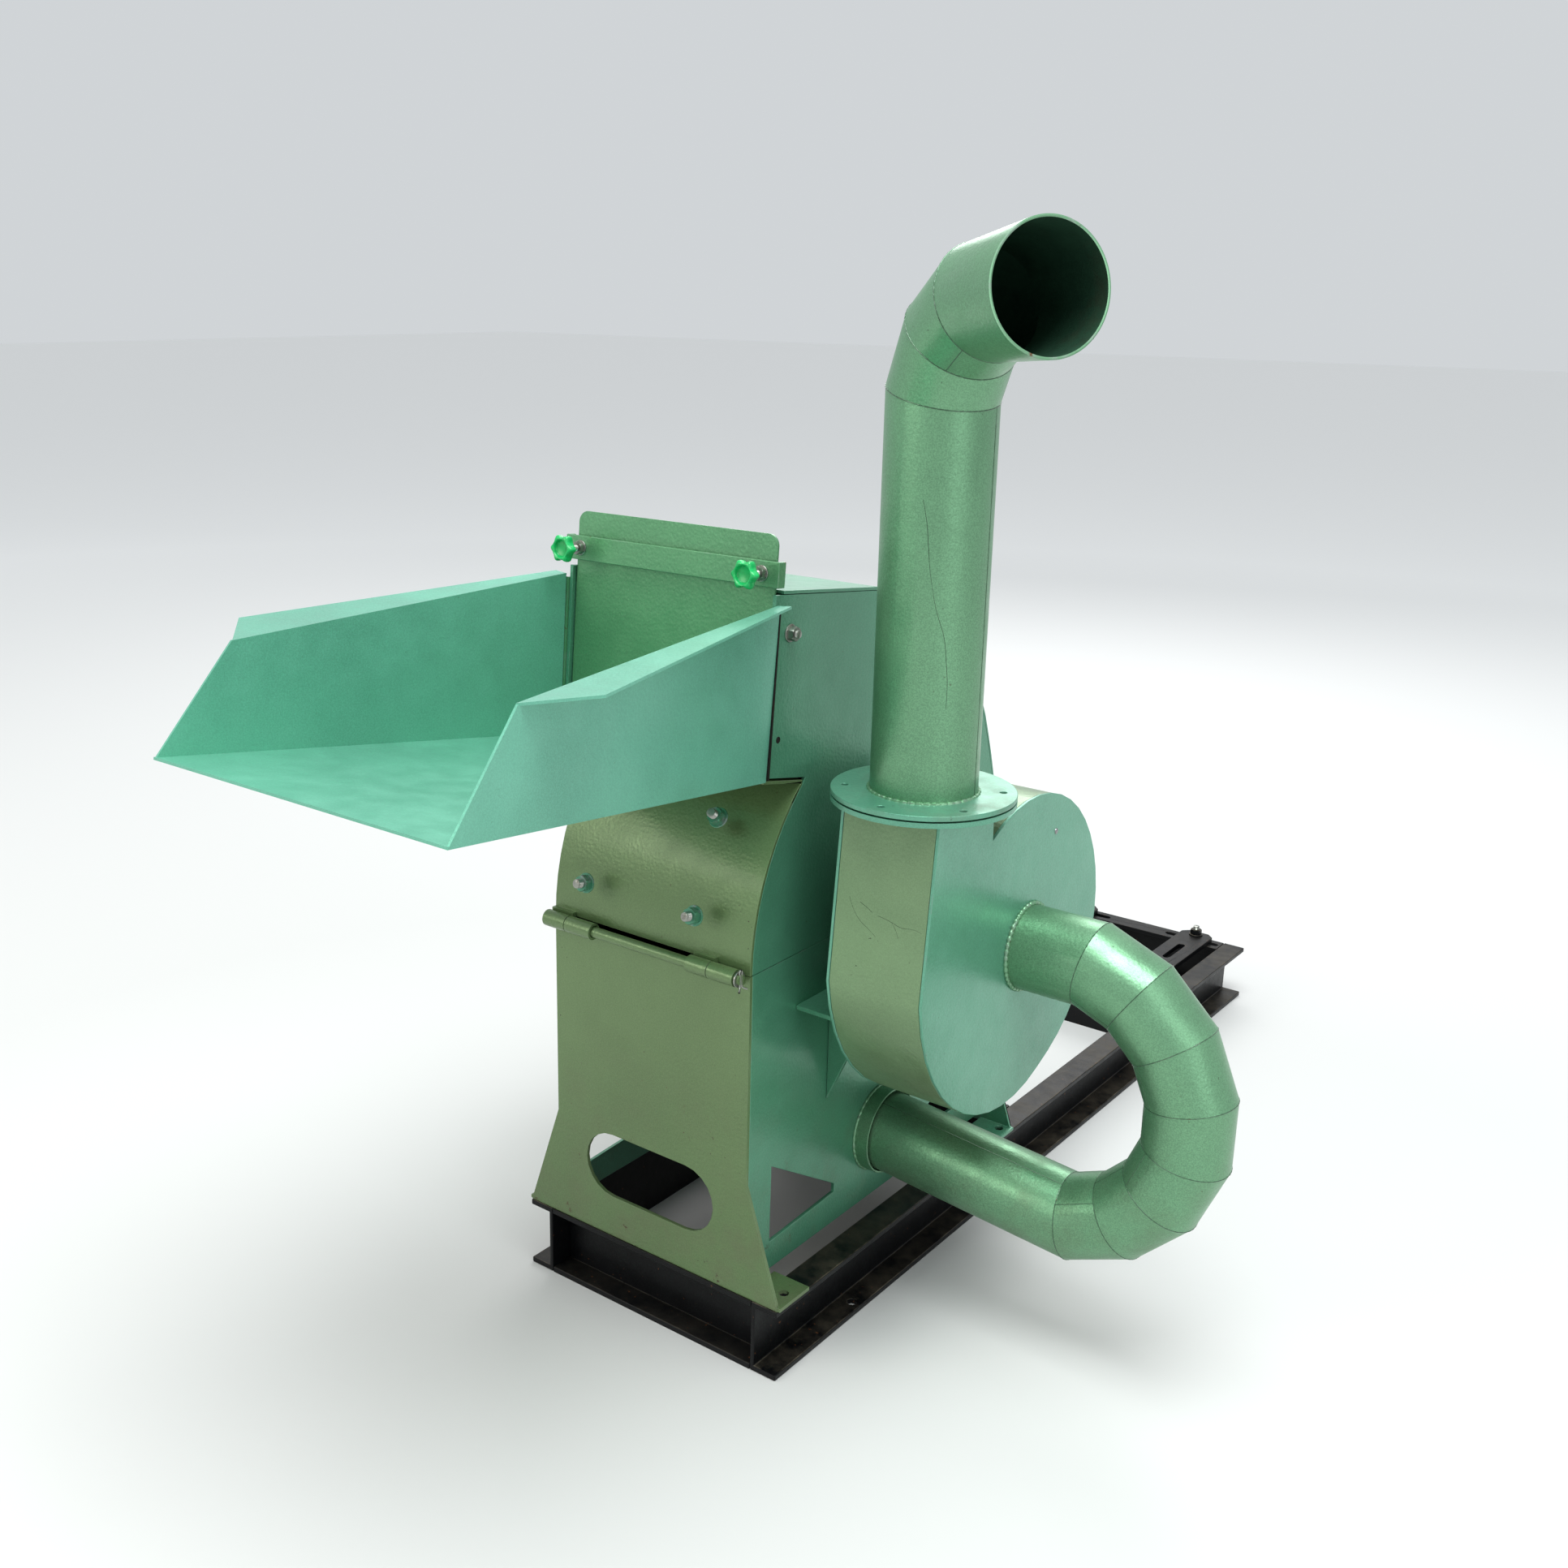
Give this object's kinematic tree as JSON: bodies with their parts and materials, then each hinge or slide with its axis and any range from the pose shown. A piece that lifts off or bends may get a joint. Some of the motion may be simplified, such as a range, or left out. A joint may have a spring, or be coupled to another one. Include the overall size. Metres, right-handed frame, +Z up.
{
  "type": "hammer mill",
  "caption": "Self-suction hammer mill with tilting feed tray, slide gate, swinging-hammer rotor, side fan, looped suction pipe and swivelling discharge elbow on a steel channel base.",
  "frame": {"origin": "middle of the front cross member's underside, on the floor, on the mill's mid-plane", "axes": "+X towards the fan, +Y from the feed tray to the motor end, +Z up"},
  "size_m": [1.0045, 2.0888, 1.4115],
  "materials": {
    "green_paint": "glossy metallic green hammertone enamel",
    "black_paint": "satin black enamel",
    "bare_steel": "plain machined or zinc-plated steel",
    "cast_iron": "rough cast grey iron",
    "knob_plastic": "bright green moulded plastic"
  },
  "bodies": {
    "base": {"frame_rail_right": "black_paint", "frame_rail_left": "black_paint", "frame_cross_front": "black_paint", "frame_cross_middle": "black_paint", "frame_cross_motor": "black_paint", "frame_cross_rear": "black_paint", "casing_front_plate": "green_paint", "casing_rear_plate": "green_paint", "casing_side_right": "green_paint", "casing_side_left": "green_paint", "collecting_hopper": "green_paint", "screen": "bare_steel", "bearing_bracket_right": "green_paint", "bearing_bracket_left": "green_paint", "bearing_housing_right": "cast_iron", "bearing_housing_left": "cast_iron", "suction_stub": "green_paint", "hinge_rod": "green_paint", "fan_inner_plate": "green_paint", "fan_outer_plate": "green_paint", "fan_scroll": "green_paint", "fan_flange": "green_paint", "suction_pipe": "green_paint"},
    "cover": {"cover_side_right": "green_paint", "cover_side_left": "green_paint", "cover_front_wrap": "green_paint", "cover_rear_wrap": "green_paint", "cover_liner": "cast_iron", "feed_tray": "green_paint", "gate_strap": "green_paint"},
    "gate": {"feed_gate": "green_paint"},
    "knob_right": {"gate_knob_right": "knob_plastic"},
    "knob_left": {"gate_knob_left": "knob_plastic"},
    "rotor": {"rotor_shaft": "bare_steel", "rotor_disc_1": "bare_steel", "rotor_disc_2": "bare_steel", "rotor_disc_3": "bare_steel", "rotor_disc_4": "bare_steel", "hammer_pin_1": "bare_steel", "hammer_pin_2": "bare_steel", "hammer_pin_3": "bare_steel", "hammer_pin_4": "bare_steel", "fan_impeller": "bare_steel", "drive_pulley": "cast_iron"},
    "hammer_row_1": {"hammer_1_1": "bare_steel", "hammer_1_2": "bare_steel", "hammer_1_3": "bare_steel"},
    "hammer_row_2": {"hammer_2_1": "bare_steel", "hammer_2_2": "bare_steel", "hammer_2_3": "bare_steel"},
    "hammer_row_3": {"hammer_3_1": "bare_steel", "hammer_3_2": "bare_steel", "hammer_3_3": "bare_steel"},
    "hammer_row_4": {"hammer_4_1": "bare_steel", "hammer_4_2": "bare_steel", "hammer_4_3": "bare_steel"},
    "discharge": {"discharge_pipe": "green_paint"},
    "bar_right": {"motor_bar_right": "black_paint"},
    "bar_left": {"motor_bar_left": "black_paint"}
  },
  "joints": [
    {"name": "cover_hinge", "type": "hinge", "parent": "base", "child": "cover", "pos_m": [0, -0.032, 0.541], "axis": [1, 0, 0], "range_deg": [0, 70]},
    {"name": "gate_slide", "type": "slide", "parent": "cover", "child": "gate", "axis": [0, 0.0807, 0.9967], "range_m": [0, 0.19]},
    {"name": "knob_right_turn", "type": "hinge", "parent": "cover", "child": "knob_right", "pos_m": [0.14, -0.01537, 1.02599], "axis": [0, -0.9967, 0.0807], "range_deg": [0, 360]},
    {"name": "knob_left_turn", "type": "hinge", "parent": "cover", "child": "knob_left", "pos_m": [-0.14, -0.01537, 1.02599], "axis": [0, -0.9967, 0.0807], "range_deg": [0, 360]},
    {"name": "rotor_spin", "type": "hinge", "parent": "base", "child": "rotor", "pos_m": [0, 0.287, 0.54], "axis": [1, 0, 0], "continuous": true},
    {"name": "hammer_row_1_swing", "type": "hinge", "parent": "rotor", "child": "hammer_row_1", "pos_m": [0, 0.37185, 0.62485], "axis": [1, 0, 0], "range_deg": [-15, 285]},
    {"name": "hammer_row_2_swing", "type": "hinge", "parent": "rotor", "child": "hammer_row_2", "pos_m": [0, 0.20215, 0.62485], "axis": [1, 0, 0], "range_deg": [-285, 15]},
    {"name": "hammer_row_3_swing", "type": "hinge", "parent": "rotor", "child": "hammer_row_3", "pos_m": [0, 0.20215, 0.45515], "axis": [1, 0, 0], "range_deg": [-195, 105]},
    {"name": "hammer_row_4_swing", "type": "hinge", "parent": "rotor", "child": "hammer_row_4", "pos_m": [0, 0.37185, 0.45515], "axis": [1, 0, 0], "range_deg": [-105, 195]},
    {"name": "discharge_swivel", "type": "hinge", "parent": "base", "child": "discharge", "pos_m": [0.299, 0.13, 0.765], "axis": [0, 0, 1], "range_deg": [-180, 180]},
    {"name": "bar_right_slide", "type": "slide", "parent": "base", "child": "bar_right", "axis": [1, 0, 0], "range_m": [-0.04, 0.04]},
    {"name": "bar_left_slide", "type": "slide", "parent": "base", "child": "bar_left", "axis": [1, 0, 0], "range_m": [-0.04, 0.04]}
  ]
}
